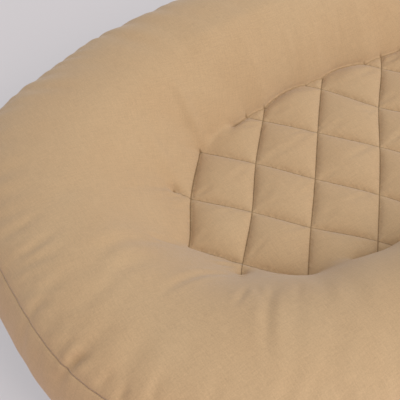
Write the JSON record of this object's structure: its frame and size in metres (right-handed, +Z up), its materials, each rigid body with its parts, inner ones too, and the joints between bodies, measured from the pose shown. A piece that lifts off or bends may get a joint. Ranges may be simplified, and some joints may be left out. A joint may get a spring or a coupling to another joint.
{
  "type": "infant lounger",
  "caption": "Oval infant lounger with a plump stuffed bolster round a sunken diamond-quilted middle, in a cotton cover with a side zip.",
  "frame": {"origin": "on the floor under the middle of the lounger's oval", "axes": "+X along the length towards the zip's closed end, +Y across towards the long side with the zip, +Z up"},
  "size_m": [0.846, 0.5408, 0.126],
  "materials": {
    "cover_cloth": "matt, fine plain weave, camel",
    "base_cloth": "matt, firmer plain weave, camel",
    "liner_cloth": "matt, undyed",
    "filling": "matt polyester fibre",
    "zip_tape": "matt, woven herringbone",
    "zip_teeth": "satin moulded",
    "zip_slider": "satin enamel"
  },
  "bodies": {
    "cushion": {"cover_top_panel": "cover_cloth", "cover_side_band": "cover_cloth", "cover_base_panel": "base_cloth", "quilt_wadding": "filling", "quilt_backing": "liner_cloth", "liner_upper": "liner_cloth", "liner_lower": "liner_cloth", "bolster_fill": "filling", "centre_pad": "filling", "zip_tape_upper": "zip_tape", "zip_tape_lower": "zip_tape", "zip_teeth_upper": "zip_teeth", "zip_teeth_lower": "zip_teeth", "zip_stop_upper": "zip_teeth", "zip_stop_lower": "zip_teeth", "zip_bottom_stop": "zip_teeth"},
    "slider": {"zip_slider": "zip_slider"},
    "pull": {"zip_pull": "zip_slider"}
  },
  "joints": [
    {"name": "zip_slide", "type": "slide", "parent": "cushion", "child": "slider", "axis": [-1, 0, 0], "range_m": [0, 0.226], "deforming": ["zip_teeth_upper", "zip_teeth_lower"]},
    {"name": "pull_swing", "type": "hinge", "parent": "slider", "child": "pull", "pos_m": [0.1145, 0.2649, 0.05215], "axis": [0, 0, -1], "range_deg": [0, 180]}
  ]
}
